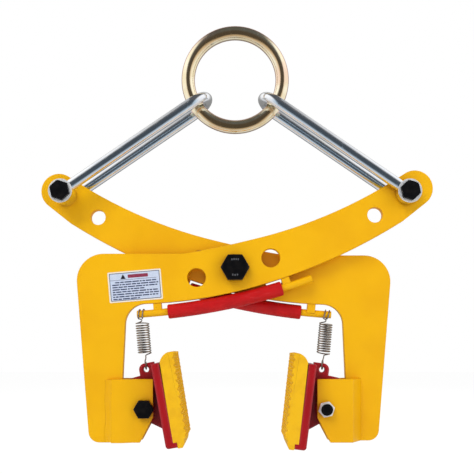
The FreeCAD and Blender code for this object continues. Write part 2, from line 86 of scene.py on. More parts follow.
def rgb(red, green, blue):
    """Linear colour of an 8-bit sRGB one."""
    return tuple(c / 12.92 if c <= 0.04045 else ((c + 0.055) / 1.055) ** 2.4
                 for c in (red / 255, green / 255, blue / 255)) + (1.0,)


def feed(tree, socket, value):
    """Link an output into the socket, or set the socket to a plain value."""
    if isinstance(value, bpy.types.NodeSocket):
        tree.links.new(value, socket)
    else:
        socket.default_value = value


def shader_node(tree, kind, feeds, **settings):
    made = tree.nodes.new("ShaderNode" + kind)
    for name, value in settings.items():
        setattr(made, name, value)
    for key, value in feeds.items():
        feed(tree, made.inputs[key], value)
    return made


class Recipe:
    """A node material being put together. Each call adds a node and gives back its output."""

    def __init__(self, name):
        self.material = bpy.data.materials.new(name)
        self.material.use_nodes = True
        self.tree = self.material.node_tree
        self.shader = self.tree.nodes["Principled BSDF"]
        self.coords = self.tree.nodes.new("ShaderNodeTexCoord").outputs["Object"]

    def add(self, kind, feeds, **settings):
        return shader_node(self.tree, kind, feeds, **settings)

    def noise(self, scale, detail=3.0, stretch=(1, 1, 1)):
        """Noise whose features are 1/scale metres long, squeezed by stretch."""
        mapping = self.add("Mapping", {"Vector": self.coords, "Scale": stretch})
        feeds = {"Vector": mapping.outputs[0], "Scale": scale, "Detail": detail}
        return self.add("TexNoise", feeds).outputs[0]

    def span(self, value, low, high, to_low=0.0, to_high=1.0):
        """The value's place between low and high, eased and spread over to_low to to_high."""
        feeds = {0: value, 1: low, 2: high, 3: to_low, 4: to_high}
        return self.add("MapRange", feeds, interpolation_type="SMOOTHSTEP").outputs[0]

    def calc(self, operation, first, second=0.0):
        return self.add("Math", {0: first, 1: second}, operation=operation).outputs[0]

    def mix(self, factor, first, second):
        node = self.add("Mix", {"Factor": factor}, data_type="RGBA")
        feed(self.tree, node.inputs[6], first)
        feed(self.tree, node.inputs[7], second)
        return node.outputs[2]

    def bump(self, height, depth, below=None):
        """Bump of the given depth in metres, on top of another bump or normal."""
        feeds = {"Height": height, "Distance": depth, "Strength": 1.0}
        if below is not None:
            feeds["Normal"] = below
        return self.add("Bump", feeds).outputs[0]

    def edges(self, radius):
        """1 on outward edges, falling to 0 within the radius."""
        soft = self.add("Bevel", {"Radius": radius}, samples=4).outputs[0]
        true = self.tree.nodes.new("ShaderNodeNewGeometry").outputs["Normal"]
        dot = self.add("VectorMath", {0: soft, 1: true}, operation="DOT_PRODUCT").outputs["Value"]
        return self.span(dot, 0.995, 0.90)

    def creases(self, reach):
        """1 deep in corners and gaps, 0 in the open."""
        open_sky = self.add("AmbientOcclusion", {"Distance": reach}, samples=6).outputs["AO"]
        return self.calc("SUBTRACT", 1.0, open_sky)

    def finish(self, **feeds):
        for key, value in feeds.items():
            feed(self.tree, self.shader.inputs[key.replace("_", " ")], value)
        return self.material


def powder_coat(name, bright, deep, shade, edge, gloss=0.06, edge_wear_and_light=0.8, roll=0.3 * MM):
    """Sprayed coat: orange-peel skin, slow colour drift, painted shade in corners, rolled and worn edges, and an
    edge tint that is part wear, part painted light.
    """
    make = Recipe(name)
    rolled = make.add("Bevel", {"Radius": roll}, samples=6).outputs[0]
    drift = make.span(make.noise(22, 2), 0.35, 0.65)
    colour = make.mix(drift, bright, deep)
    # painted shade: colour drawn towards the shade colour deep in corners and gaps
    colour = make.mix(make.span(make.creases(14 * MM), 0.15, 0.9, 0, 0.7), colour, shade)
    rim = make.edges(0.8 * MM)
    # edge tint, part wear and part painted light: a darker outline painted as shade on the yellow, a pink painted
    # highlight on the red
    colour = make.mix(make.calc("MULTIPLY", rim, 0.7 * edge_wear_and_light), colour, edge)
    flecks = make.span(make.noise(420, 4), 0.66, 0.70)
    worn = make.calc("MULTIPLY", make.calc("MULTIPLY", flecks, rim), edge_wear_and_light)
    colour = make.mix(worn, colour, rgb(74, 66, 58))
    scuffs = make.span(make.noise(260, 5, (1, 1, 0.15)), 0.62, 0.80)
    rough = make.calc("ADD", make.span(make.noise(60), 0.3, 0.7, 0.34, 0.44),
                      make.calc("MULTIPLY", scuffs, 0.18))
    skin = make.bump(make.noise(750, 2), 0.035 * MM, rolled)
    skin = make.bump(make.noise(2600, 1), 0.006 * MM, skin)
    skin = make.bump(make.calc("SUBTRACT", 1.0, worn), 0.05 * MM, skin)
    return make.finish(Base_Color=colour, Roughness=rough, Normal=skin, Specular_IOR_Level=0.2,
                       Coat_Weight=gloss, Coat_Roughness=0.16, Coat_Normal=skin)


def plated(name, bright, cloudy, tint, roughness, grain, facing=None, rim=None, metallic=1.0):
    """Plated steel: cloudy passivation, fine scratches, painted reflection tints that turn with the viewing angle,
    and painted shade in corners.
    """
    make = Recipe(name)
    clouds = make.span(make.noise(70, 4), 0.35, 0.65)
    colour = make.mix(clouds, bright, cloudy)
    colour = make.mix(make.span(make.noise(34, 2), 0.5, 0.75, 0, 0.7), colour, tint)
    # painted reflection: a darker tint where the surface faces the view and a paler tint on its grazing sides,
    # standing in for a dark reflection down the middle and bright ones at the sides
    if facing:
        turned = make.add("LayerWeight", {"Blend": 0.5}).outputs["Facing"]
        colour = make.mix(make.span(turned, 0.16, 0.03), colour, facing)
        colour = make.mix(make.span(turned, 0.45, 0.75, 0, 0.8), colour, rim)
    # painted shade: darker brown deep in corners and gaps
    painted_crease_shade = make.span(make.creases(5 * MM), 0.35, 1.0, 0, 0.65)
    colour = make.mix(painted_crease_shade, colour, rgb(52, 46, 40))
    scratches = make.span(make.noise(300, 6, (1, 1, 0.08)), 0.55, 0.75)
    rough = make.calc("ADD", make.span(make.noise(160), 0.35, 0.7, roughness, roughness + 0.08),
                      make.calc("MULTIPLY", scratches, 0.10))
    skin = make.bump(make.noise(grain, 3), 0.012 * MM)
    skin = make.bump(scratches, -0.004 * MM, skin)
    return make.finish(Base_Color=colour, Metallic=metallic, Roughness=rough, Normal=skin)


def black_oxide():
    """Blackened steel: slightly brown where handled, brighter on the corners."""
    make = Recipe("black_oxide")
    colour = make.mix(make.span(make.noise(180, 4), 0.4, 0.7), rgb(20, 20, 24), rgb(34, 31, 32))
    colour = make.mix(make.calc("MULTIPLY", make.edges(0.5 * MM), 0.5), colour, rgb(86, 86, 92))
    rough = make.span(make.noise(500, 4), 0.3, 0.7, 0.36, 0.52)
    skin = make.bump(make.noise(1400, 3), 0.015 * MM)
    return make.finish(Base_Color=colour, Metallic=0.75, Roughness=rough, Normal=skin)


def polyurethane():
    """Moulded pad: soft satin skin with faint flow marks and painted shade in the grooves."""
    make = Recipe("pad_polyurethane")
    colour = make.mix(make.span(make.noise(90, 5), 0.4, 0.65), rgb(238, 184, 0), rgb(230, 174, 0))
    # painted shade: darker olive deep in the grooves between the nubs
    colour = make.mix(make.span(make.creases(2.2 * MM), 0.45, 0.9, 0, 0.5), colour, rgb(170, 140, 10))
    colour = make.mix(make.span(make.noise(330, 2), 0.66, 0.74, 0, 0.25), colour, rgb(206, 158, 10))
    rough = make.span(make.noise(240, 4), 0.3, 0.7, 0.42, 0.58)
    skin = make.bump(make.noise(420, 4), 0.05 * MM)
    skin = make.bump(make.noise(1900, 2), 0.012 * MM, skin)
    return make.finish(Base_Color=colour, Roughness=rough, Normal=skin, Subsurface_Weight=0.04,
                       Subsurface_Scale=2 * MM, Subsurface_Radius=(1.0, 0.6, 0.1), Specular_IOR_Level=0.35)


def sleeve_vinyl():
    """Dipped handle sleeve: smooth soft vinyl with paler scuffs, and painted shade where it meets other parts."""
    make = Recipe("red_sleeve")
    colour = make.mix(make.span(make.noise(60, 4), 0.35, 0.7), rgb(194, 4, 10), rgb(178, 0, 8))
    scuffs = make.span(make.noise(240, 6, (0.25, 1, 1)), 0.60, 0.78, 0, 0.35)
    colour = make.mix(scuffs, colour, rgb(214, 66, 66))
    # painted shade: darker red deep in gaps next to other parts
    colour = make.mix(make.span(make.creases(5 * MM), 0.2, 0.9, 0, 0.8), colour, rgb(96, 4, 10))
    rough = make.span(make.noise(300, 4), 0.3, 0.7, 0.40, 0.56)
    skin = make.bump(make.noise(500, 3), 0.03 * MM)
    skin = make.bump(make.noise(2200, 2), 0.01 * MM, skin)
    return make.finish(Base_Color=colour, Roughness=rough, Normal=skin, Specular_IOR_Level=0.3)


def printed(name, first, second, roughness):
    """Ink or foil with a faint print grain."""
    make = Recipe(name)
    colour = make.mix(make.span(make.noise(900, 4), 0.35, 0.65), first, second)
    skin = make.bump(make.noise(1600, 2), 0.004 * MM)
    return make.finish(Base_Color=colour, Roughness=roughness, Normal=skin, Coat_Weight=0.2)


YELLOW, DEEP_YELLOW, SHADED_YELLOW = rgb(237, 178, 0), rgb(232, 171, 0), rgb(206, 112, 0)

looks = {
    # each coat's last colour is its edge tint: painted shade on the yellow, a painted highlight on the red
    "yellow_paint": powder_coat("yellow_paint", YELLOW, DEEP_YELLOW, SHADED_YELLOW, rgb(178, 124, 4)),
    "weld_paint": powder_coat("weld_paint", YELLOW, DEEP_YELLOW, SHADED_YELLOW, YELLOW, edge_wear_and_light=0.0),
    "red_paint": powder_coat("red_paint", rgb(166, 0, 16), rgb(152, 0, 12), rgb(70, 0, 2),
                             rgb(210, 60, 76), gloss=0.8, roll=3.5 * MM),
    # facing and rim colours below are painted reflection tints
    "yellow_chromate": plated("yellow_chromate", rgb(250, 240, 212), rgb(240, 226, 188),
                              rgb(240, 206, 186), 0.12, 120,
                              facing=rgb(214, 180, 132), rim=rgb(214, 146, 126)),
    "bright_zinc": plated("bright_zinc", rgb(240, 242, 244), rgb(228, 231, 236), rgb(236, 234, 226),
                          0.12, 110, facing=rgb(186, 206, 222), rim=rgb(240, 240, 236)),
    "zinc_face": plated("zinc_face", rgb(236, 236, 236), rgb(220, 222, 226), rgb(232, 228, 220),
                        0.42, 500, metallic=0.3),
    "spring_steel": plated("spring_steel", rgb(176, 172, 166), rgb(148, 144, 138), rgb(160, 146, 128),
                           0.24, 500),
    "bearing_bronze": plated("bearing_bronze", rgb(200, 160, 98), rgb(176, 134, 78), rgb(160, 120, 84),
                             0.3, 400),
    "black_oxide": black_oxide(),
    "pad_polyurethane": polyurethane(),
    "red_sleeve": sleeve_vinyl(),
    "label_foil": printed("label_foil", rgb(204, 213, 232), rgb(190, 203, 224), 0.32),
}
label_edge = printed("label_edge", rgb(240, 232, 214), rgb(232, 222, 200), 0.4)
dark_ink = printed("dark_ink", rgb(52, 62, 104), rgb(38, 48, 86), 0.4)
red_ink = printed("red_ink", rgb(150, 58, 84), rgb(132, 40, 66), 0.4)
stamped = plated("stamped_mark", rgb(150, 152, 158), rgb(120, 122, 130), rgb(140, 138, 134), 0.45, 600)
black_ink = printed("black_ink", rgb(24, 20, 30), rgb(34, 30, 40), 0.4)


# ---------------------------------------------------------------- mesh helpers

SHARP = math.radians(32)


def geometry_group(name):
    group = bpy.data.node_groups.new(name, "GeometryNodeTree")
    group.interface.new_socket("Geometry", in_out="INPUT", socket_type="NodeSocketGeometry")
    group.interface.new_socket("Geometry", in_out="OUTPUT", socket_type="NodeSocketGeometry")
    return group, group.nodes.new("NodeGroupInput"), group.nodes.new("NodeGroupOutput")


def merging_group():
    """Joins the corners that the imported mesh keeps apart, and drops its stored normals."""
    group, start, end = geometry_group("merge_corners")
    merge = group.nodes.new("GeometryNodeMergeByDistance")
    merge.inputs["Distance"].default_value = 0.002 * MM
    drop = group.nodes.new("GeometryNodeRemoveAttribute")
    drop.inputs["Name"].default_value = "custom_normal"
    group.links.new(start.outputs[0], merge.inputs["Geometry"])
    group.links.new(merge.outputs[0], drop.inputs["Geometry"])
    group.links.new(drop.outputs[0], end.inputs[0])
    return group


def smoothing_group():
    """Smooth shading, with every edge steeper than SHARP kept sharp."""
    group, start, end = geometry_group("smooth_by_angle")
    angle = group.nodes.new("GeometryNodeInputMeshEdgeAngle")
    steep = group.nodes.new("FunctionNodeCompare")
    steep.operation = "GREATER_THAN"
    steep.inputs[1].default_value = SHARP
    faces = group.nodes.new("GeometryNodeSetShadeSmooth")
    edges = group.nodes.new("GeometryNodeSetShadeSmooth")
    edges.domain = "EDGE"
    edges.inputs["Shade Smooth"].default_value = False
    group.links.new(angle.outputs["Unsigned Angle"], steep.inputs[0])
    group.links.new(start.outputs[0], faces.inputs["Geometry"])
    group.links.new(faces.outputs[0], edges.inputs["Geometry"])
    group.links.new(steep.outputs[0], edges.inputs["Selection"])
    group.links.new(edges.outputs[0], end.inputs[0])
    return group


MERGE = merging_group()
SMOOTH = smoothing_group()


def soften(piece, width, flatten=True):
    """Real rounded edges: merge corners, bevel sharp edges, then keep flats flat."""
    if flatten:
        piece.modifiers.new("merge", "NODES").node_group = MERGE
        planar = piece.modifiers.new("planar", "DECIMATE")
        planar.decimate_type = "DISSOLVE"
        planar.angle_limit = math.radians(0.4)
    if width:
        bevel = piece.modifiers.new("bevel", "BEVEL")
        bevel.width = width
        bevel.segments = 3
        bevel.limit_method = "ANGLE"
        bevel.angle_limit = SHARP
        bevel.use_clamp_overlap = True
    piece.modifiers.new("smooth", "NODES").node_group = SMOOTH
    flats = piece.modifiers.new("flats", "WEIGHTED_NORMAL")
    flats.keep_sharp = True


def new_piece(name, points, faces, materials, body=None, face_materials=None):
    """Smooth-shaded object with one material or a list, riding on body when one is given."""
    mesh = bpy.data.meshes.new(name)
    mesh.from_pydata([tuple(p) for p in points], [], faces)
    mesh.update()
    piece = bpy.data.objects.new(name, mesh)
    bpy.context.scene.collection.objects.link(piece)
    for material in materials if isinstance(materials, list) else [materials]:
        mesh.materials.append(material)
    if face_materials:
        mesh.polygons.foreach_set("material_index", face_materials)
    mesh.polygons.foreach_set("use_smooth", [True] * len(mesh.polygons))
    if body:
        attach(piece, body)
    return piece


def joined_rings(rings, size):
    """Quads between neighbouring rings of points, each ring size points long."""
    faces = []
    for ring in range(rings - 1):
        for k in range(size):
            a, b = ring * size + k, ring * size + (k + 1) % size
            faces.append((a, b, b + size, a + size))
    return faces


def end_caps(rings, size):
    return [tuple(reversed(range(size))), tuple(range((rings - 1) * size, rings * size))]


def circle(radius, sides):
    angles = np.linspace(0, 2 * math.pi, sides, endpoint=False)
    return [(radius * math.cos(angle), radius * math.sin(angle)) for angle in angles]


def across(direction):
    """Two unit vectors at right angles to the direction and to each other."""
    side = direction.orthogonal().normalized()
    return side, direction.cross(side)


def rounded_path(points):
    """The path with its corners cut once, and its two end points kept."""
    cut = [points[0]]
    for a, b in zip(points, points[1:]):
        cut += [a.lerp(b, 0.25), a.lerp(b, 0.75)]
    return cut + [points[-1]]


def wire(name, path, radius, slot):
    """Round wire along a path, with a section that doesn't twist."""
    section = circle(radius, 10)
    count = len(path)
    tangents = [(path[min(i + 1, count - 1)] - path[max(i - 1, 0)]).normalized() for i in range(count)]
    side = tangents[0].orthogonal().normalized()
    points = []
    for place, along in zip(path, tangents):
        side = (side - along * side.dot(along)).normalized()
        up = along.cross(side)
        points += [place + side * a + up * b for a, b in section]
    faces = joined_rings(count, len(section)) + end_caps(count, len(section))
    return new_piece(name, points, faces, looks[slot])


def mesh_points(node):
    flat = np.empty(len(nodes[node].data.vertices) * 3, np.float32)
    nodes[node].data.vertices.foreach_get("co", flat)
    return flat.reshape(-1, 3).astype(float)


def side_name(side):
    return "left" if side == LEFT else "right"


# ---------------------------------------------------------------- carried-over CAD parts

STOOD_FOR = {"left_pad", "right_pad", "front_handle_grip", "rear_handle_grip", "left_spring",
             "right_spring", "label_plate"}
ROUNDING = {"yellow_paint": 0.6 * MM, "red_paint": 1.0 * MM, "black_oxide": 0.25 * MM,
            "bright_zinc": 0.3 * MM, "yellow_chromate": 0, "bearing_bronze": 0.2 * MM}
LINK_EYE_REACH, PAD_NUT_REACH = 11.4 * MM, 8.2 * MM


def ground_faces(name, joint, reach):
    """Give flat faces within reach of a bolt a duller, lighter finish than the bright metal round them."""
    piece = nodes[name]
    axis = Vector(joints[joint]["pos_m"])
    piece.data.materials.append(looks["zinc_face"])
    for face in piece.data.polygons:
        away = face.center - axis
        if abs(face.normal.y) > 0.6 and math.hypot(away.x, away.z) < reach:
            face.material_index = 1


for name, piece in nodes.items():
    piece.data.materials.clear()
    piece.data.materials.append(looks[slots[name]])
    if name not in STOOD_FOR:
        soften(piece, ROUNDING[slots[name]])
for side in ("left", "right"):
    ground_faces(f"{side}_link", f"{side}_link_swing", LINK_EYE_REACH)
    ground_faces(f"{side}_pad_nut", f"{side}_jaw_tilt", PAD_NUT_REACH)


# ---------------------------------------------------------------- jaws' pads

# millimetres from the jaw's bolt: n towards the stone, v up the pad
PAD_BACK, PAD_TIP, PAD_TOP, PAD_FACE_BOTTOM, PAD_HALF_WIDTH = 23.5, 37.7, 50.4, -31.5, 30.0
NUB_DEPTH, NUB_PITCH = 3.0, 7.5
NUB_GROOVE, NUB_FADE = 1.35, 5.0  # half a groove's width, and how far from the flanks it gets shallower
NUB_STEPS = 8  # mesh rows for each nub
PAD_EDGE = 0.75  # rounding where the pad's profile meets its flanks


def arc_through(a, b, c, steps):
    """Points on the circle through three 2-D points, from a to c."""
    (ax, ay), (bx, by), (cx, cy) = a, b, c
    d = 2 * (ax * (by - cy) + bx * (cy - ay) + cx * (ay - by))
    ux = ((ax**2 + ay**2) * (by - cy) + (bx**2 + by**2) * (cy - ay) + (cx**2 + cy**2) * (ay - by)) / d
    uy = ((ax**2 + ay**2) * (cx - bx) + (bx**2 + by**2) * (ax - cx) + (cx**2 + cy**2) * (bx - ax)) / d
    start = math.atan2(ay - uy, ax - ux)
    sweep_angle = (math.atan2(cy - uy, cx - ux) - start + math.pi) % (2 * math.pi) - math.pi
    radius = math.hypot(ax - ux, ay - uy)
    return [(ux + radius * math.cos(start + sweep_angle * i / steps),
             uy + radius * math.sin(start + sweep_angle * i / steps)) for i in range(steps + 1)]


def nub_height(y, v):
    """Diamond nubs between two families of diagonal grooves, shallower towards the pad's flanks."""
    gaps = []
    for place in (y + v, y - v):
        share = abs((place / NUB_PITCH + 0.5) % 1 - 0.5)
        gaps.append(share * NUB_PITCH / math.sqrt(2))
    rise = min(1.0, min(gaps) / NUB_GROOVE)
    inboard = min(1.0, max(0.0, (PAD_HALF_WIDTH - abs(y)) / NUB_FADE))
    groove = 1 - rise * rise * (3 - 2 * rise)
    return NUB_DEPTH * (1 - groove * (0.5 + 0.5 * inboard))


def jaw_frame(side):
    """Bolt point and the directions towards the stone and up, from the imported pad's gripping face."""
    name = side_name(side)
    bolt = Vector(joints[f"{name}_jaw_tilt"]["pos_m"])
    total = Vector()
    for face in nodes[f"{name}_pad"].data.polygons:
        if face.normal.x * -side > 0.9:
            total += face.normal * face.area
    toward = Vector((total.x, 0, total.z)).normalized()
    up = Vector((-toward.z, 0, toward.x)) * -side
    return bolt, toward, up


def pad(side):
    """Moulded pad: one profile of back, round shoulders and nubbed face, carried across its width."""
    name = side_name(side)
    bolt, toward, up = jaw_frame(side)
    upper = [(PAD_BACK, -35), (PAD_BACK, 0), (PAD_BACK, 42.2)]
    upper += arc_through((PAD_BACK, 42.2), (27, 47.6), (32.6, 50.6), 8)[1:]
    upper += [(33.2, 50.6), (33.8, 50.5)]
    lower = arc_through((PAD_TIP - NUB_DEPTH + 0.2, PAD_FACE_BOTTOM), (34.5, -36.5), (32.5, -40.4), 8)[1:]
    lower += [(30, -40.5), (28.1, -40.4), (27.6, -40.0), (27.5, -38), (27.5, -35)]
    step = NUB_PITCH / NUB_STEPS
    rows = list(np.arange(PAD_TOP - 0.7, PAD_FACE_BOTTOM, -step))
    edge = [(PAD_HALF_WIDTH, PAD_EDGE), (PAD_HALF_WIDTH - 0.2, 0.32), (PAD_HALF_WIDTH - PAD_EDGE, 0.0)]
    slices = [(-y, inset) for y, inset in edge]
    slices += [(y, 0.0) for y in np.arange(-PAD_HALF_WIDTH + step, PAD_HALF_WIDTH - step / 2, step)]
    slices += reversed(edge)
    middle_n, middle_v = (PAD_BACK + PAD_TIP) / 2, (PAD_TOP + PAD_FACE_BOTTOM) / 2
    points = []
    for y, inset in slices:
        face = [(PAD_TIP - NUB_DEPTH + nub_height(y, v), v) for v in rows]
        outline = upper + face + lower
        for n, v in outline:
            n += inset * (1 if n < middle_n - 4 else -1 if n > middle_n + 2 else 0)
            v += inset * (1 if v < middle_v - 34 else -1 if v > middle_v + 34 else 0)
            points.append(bolt + (toward * n + up * v) * MM + Vector((0, y * MM, 0)))
    faces = joined_rings(len(slices), len(outline)) + end_caps(len(slices), len(outline))
    if side == LEFT:
        faces = [tuple(reversed(face)) for face in faces]
    piece = new_piece(f"{name}_nubbed_pad", points, faces, looks["pad_polyurethane"],
                      f"{name}_jaw")
    soften(piece, 0, flatten=False)
    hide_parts(f"{name}_pad")


# ---------------------------------------------------------------- springs

# radii in millimetres, of the end loops, the wire and the coil
SPRING_LOOP, SPRING_WIRE, SPRING_COIL = 4.4, 0.6, 6.2
SPRING_TURNS, TURN_STEPS = 12.5, 22
BOTTOM_LEG, TOP_LEG = 7.0, 4.6  # clear lengths between each loop and the coil
TOP_LOOP_TRAVEL = 6.5  # how far the top loop winds along the rod


def loop_centre(points, top):
    """Centre of the closed loop at a spring's top or bottom end."""
    edge = points[:, 2].max() if top else points[:, 2].min()
    near = points[abs(points[:, 2] - edge) < 2 * SPRING_LOOP * MM]
    middle = (near.min(0) + near.max(0)) / 2
    reach = (SPRING_LOOP + SPRING_WIRE) * MM
    return Vector((middle[0], middle[1], edge - reach if top else edge + reach))


def spring(side):
    """One wire: loop through the ear, leg, coil, leg, loop round the rod's end."""
    name = f"{side_name(side)}_spring"
    points = mesh_points(name)
    bottom, top = loop_centre(points, False), loop_centre(points, True)
    span = (top - bottom).length / MM
    coil_start, coil_end = SPRING_LOOP + BOTTOM_LEG, span - SPRING_LOOP - TOP_LEG

    def loop(height, start, stop, twist, travel=0.0):
        """Points round a loop, angles in degrees from straight up; it may travel sideways as it turns."""
        for share in np.linspace(0, 1, int(abs(stop - start) / 15)):
            angle = math.radians(start + (stop - start) * share)
            out = SPRING_LOOP * math.sin(angle)
            yield Vector((out * math.sin(twist) + travel * (share - 0.5), out * math.cos(twist),
                          height + SPRING_LOOP * math.cos(angle)))

    path = list(loop(0, 320, 15, math.radians(14 * side)))
    path += [Vector((0.3, 0.6, SPRING_LOOP + 1.0)), Vector((0.8, 0.2, SPRING_LOOP + 3.2)),
             Vector((0.6, 0, coil_start - 1.8))]
    steps = int(SPRING_TURNS * TURN_STEPS)
    for i in range(steps + 1):
        turn = 2 * math.pi * SPRING_TURNS * i / steps
        height = coil_start + (coil_end - coil_start) * i / steps
        path.append(Vector((SPRING_COIL * math.cos(turn), SPRING_COIL * math.sin(turn), height)))
    path += [Vector((-0.6, 0, coil_end + 1.6)), Vector((0, 0.3, span - SPRING_LOOP - 1.0))]
    path += list(loop(span, 195, 800, 0.0, TOP_LOOP_TRAVEL))
    axis = (top - bottom).normalized()
    lean = Vector((0, 0, 1)).rotation_difference(axis).to_matrix()
    path = [bottom + lean @ point * MM for point in rounded_path(path)]
    piece = wire(f"{name}_wire", path, SPRING_WIRE * MM, "spring_steel")
    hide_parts(name)
    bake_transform(piece)


# ---------------------------------------------------------------- handle sleeves

# the arc that the rod is bent to, in millimetres from the pivot
ROD_RADIUS, ROD_ARC_ACROSS, ROD_ARC_UP = 601.8, 130.5, 556.1
SLEEVE_BORE, SLEEVE_SIDES, SLEEVE_STEPS = 3.62, 40, 70
# rolled end of a sleeve: distance from its end, growth of the radius, and whether that is the bore's
SLEEVE_LIP = [(4.0, 0.0, True), (0.5, 0.0, True), (0.12, 0.25, True), (0.0, 0.8, True),
              (0.0, -1.3, False), (0.12, -0.75, False), (0.5, -0.28, False), (1.2, -0.05, False),
              (2.4, 0.0, False)]


def handle_sleeve(name, body, side):
    """Hollow dipped sleeve on the bent rod: rolled ends and a slightly uneven wall."""
    x, y, z = mesh_points(name).T
    pivot_height = joints["arm_swing"]["pos_m"][2]
    centre = Vector((-side * ROD_ARC_ACROSS * MM, (y.min() + y.max()) / 2, ROD_ARC_UP * MM + pivot_height))
    radius = ROD_RADIUS * MM
    angles = np.arctan2(x - centre.x, centre.z - z)
    outer, inner = (y.max() - y.min()) / 2, SLEEVE_BORE * MM
    length = (angles.max() - angles.min()) * radius
    lip = [(distance * MM, (inner if bore else outer) + grow * MM) for distance, grow, bore in SLEEVE_LIP]
    lip_end = lip[-1][0]
    rows = list(lip)
    for i in range(1, SLEEVE_STEPS):
        wander = 0.05 + 0.05 * math.sin(i * 1.7) * math.sin(i * 0.41)
        rows.append((lip_end + (length - 2 * lip_end) * i / SLEEVE_STEPS, outer - wander * MM))
    rows += [(length - distance, reach) for distance, reach in reversed(lip)]
    points = []
    for distance, reach in rows:
        angle = angles.min() + distance / radius
        outward = Vector((math.sin(angle), 0, -math.cos(angle)))
        points += [centre + outward * (radius + a) + Vector((0, b, 0)) for a, b in circle(reach, SLEEVE_SIDES)]
    faces = joined_rings(len(rows), SLEEVE_SIDES)
    piece = new_piece(f"{body}_sleeve", points, faces, looks["red_sleeve"], body)
    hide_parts(name)


# ---------------------------------------------------------------- label

FOIL, EDGE, DARK, RED, BLACK = range(5)  # the label's material slots
LABEL_NUDGE = Vector((1.2, 0, -0.7)) * MM
LABEL_TILT = math.radians(4.8)
LABEL_BACK = 0.2  # millimetres from the label node's middle to the paint
LINE_ENDS = (21.5, 22.5, 21.5, 9.0, 21.5, 22.5, 21.5, 4.5)
LINE_STEP, LINE_HEIGHT, FIRST_LINE_UP, LINE_START, LINE_INDENT = 2.3, 1.15, 4.4, -22.0, 3.0
WORD_WIDTHS, WORD_GAP = (4.2, 2.6, 6.4, 3.4, 5.2, 1.9, 7.0), 0.7


def rounded_box(u, v, width, height, corner):
    """Outline of a box centred on (u, v), with rounded corners where corner isn't 0."""
    outline = []
    for sx, sy, start in ((1, 1, 0), (-1, 1, 90), (-1, -1, 180), (1, -1, 270)):
        for extra in (0, 30, 60, 90) if corner else (0,):
            angle = math.radians(start + extra)
            outline.append((u + sx * (width / 2 - corner) + corner * math.cos(angle),
                            v + sy * (height / 2 - corner) + corner * math.sin(angle)))
    return outline


def label():
    """Foil sticker with a generic printed panel: a header, then rows of plain bars."""
    low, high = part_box("label_plate")
    middle = (low + high) / 2 + LABEL_NUDGE
    along = Vector((math.cos(LABEL_TILT), 0, math.sin(LABEL_TILT)))
    up = Vector((-math.sin(LABEL_TILT), 0, math.cos(LABEL_TILT)))
    points, faces, inks = [], [], []

    def add(outline, thickness, ink):
        """A flat shape of one ink, its outline in millimetres along and up the label."""
        first, count = len(points), len(outline)
        for rise in (thickness, 0.02):
            for u, v in outline:
                points.append(middle + (along * u + up * v) * MM + Vector((0, (LABEL_BACK - rise) * MM, 0)))
        faces.append(tuple(range(first, first + count)))
        faces.append(tuple(reversed(range(first + count, first + 2 * count))))
        for k in range(count):
            after = (k + 1) % count
            faces.append((first + after, first + k, first + count + k, first + count + after))
        inks.extend([ink] * (count + 2))

    add(rounded_box(0, 0, 51.6, 29.5, 1.2), 0.30, EDGE)
    add(rounded_box(0, 0, 48.6, 26.8, 0.8), 0.33, DARK)
    add(rounded_box(0, 0, 47.4, 25.6, 0.6), 0.35, FOIL)
    add([(-13.6, 7.4), (-8.4, 7.4), (-11.0, 12.0)], 0.38, BLACK)
    add(rounded_box(3.4, 9.7, 19.5, 3.3, 0.5), 0.38, RED)
    add(rounded_box(-1.5, 6.6, 45, 0.35, 0.0), 0.37, DARK)
    for row, end in enumerate(LINE_ENDS):
        start = LINE_START + (LINE_INDENT if row == 0 else 0)
        word = 0
        while start < end - 1.5:
            width = min(WORD_WIDTHS[(word * 3 + row * 2) % len(WORD_WIDTHS)], end - start)
            centre_up = FIRST_LINE_UP - row * LINE_STEP
            add(rounded_box(start + width / 2, centre_up, width, LINE_HEIGHT, 0.25), 0.37, DARK)
            start += width + WORD_GAP
            word += 1
    materials = [looks["label_foil"], label_edge, dark_ink, red_ink, black_ink]
    piece = new_piece("printed_label", points, faces, materials, "front_arm", inks)
    piece.data.polygons.foreach_set("use_smooth", [False] * len(piece.data.polygons))
    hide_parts("label_plate")


# ---------------------------------------------------------------- small details

FILLET_WIDE, FILLET_TALL, FILLET_LAP = 6.5 * MM, 5.06 * MM, 0.9 * MM
FILLET_CORNERS, FILLET_STEP = 14, 0.6 * MM


def cheek_weld(side, facing, outward, arm):
    """Painted-over fillet down the outer end of a cheek that stands proud of the hook.

    It runs out along the plate, and up and a little way over the cheek's edge.
    """
    cheek = f"{side_name(side)}_{facing}_cheek"
    arm_low, arm_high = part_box(arm)
    low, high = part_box(cheek)
    x = low.x if side == LEFT else high.x
    y = arm_low.y if outward == FRONT else arm_high.y
    start, end = Vector((x, y, low.z + 0.6 * MM)), Vector((x, y, high.z - 0.6 * MM))
    length = (end - start).length
    along, sideways, out = (end - start) / length, Vector((side, 0, 0)), Vector((0, outward, 0))
    count = int(length / FILLET_STEP)
    points = []
    for i in range(count + 1):
        place = length * i / count
        wander = 1 + 0.02 * math.sin(place / (0.7 * MM)) + 0.05 * math.sin(place / (5.3 * MM))
        base = start + along * place
        points.append(base - (sideways + out) * 0.3 * MM)
        for k in range(FILLET_CORNERS):
            share = k / (FILLET_CORNERS - 1)
            climb = share * share * (3 - 2 * share)
            spread = FILLET_WIDE * wander * (1 - share) - FILLET_LAP * share
            points.append(base + sideways * spread + out * FILLET_TALL * climb)
    faces = joined_rings(count + 1, FILLET_CORNERS + 1) + end_caps(count + 1, FILLET_CORNERS + 1)
    if along.dot(sideways.cross(out)) > 0:
        faces = [tuple(reversed(face)) for face in faces]
    piece = new_piece(f"{cheek}_weld", points, faces, looks["weld_paint"], arm)
    soften(piece, 0, flatten=False)


THREAD_STEPS, THREAD_DEPTH = 28, 0.35 * MM


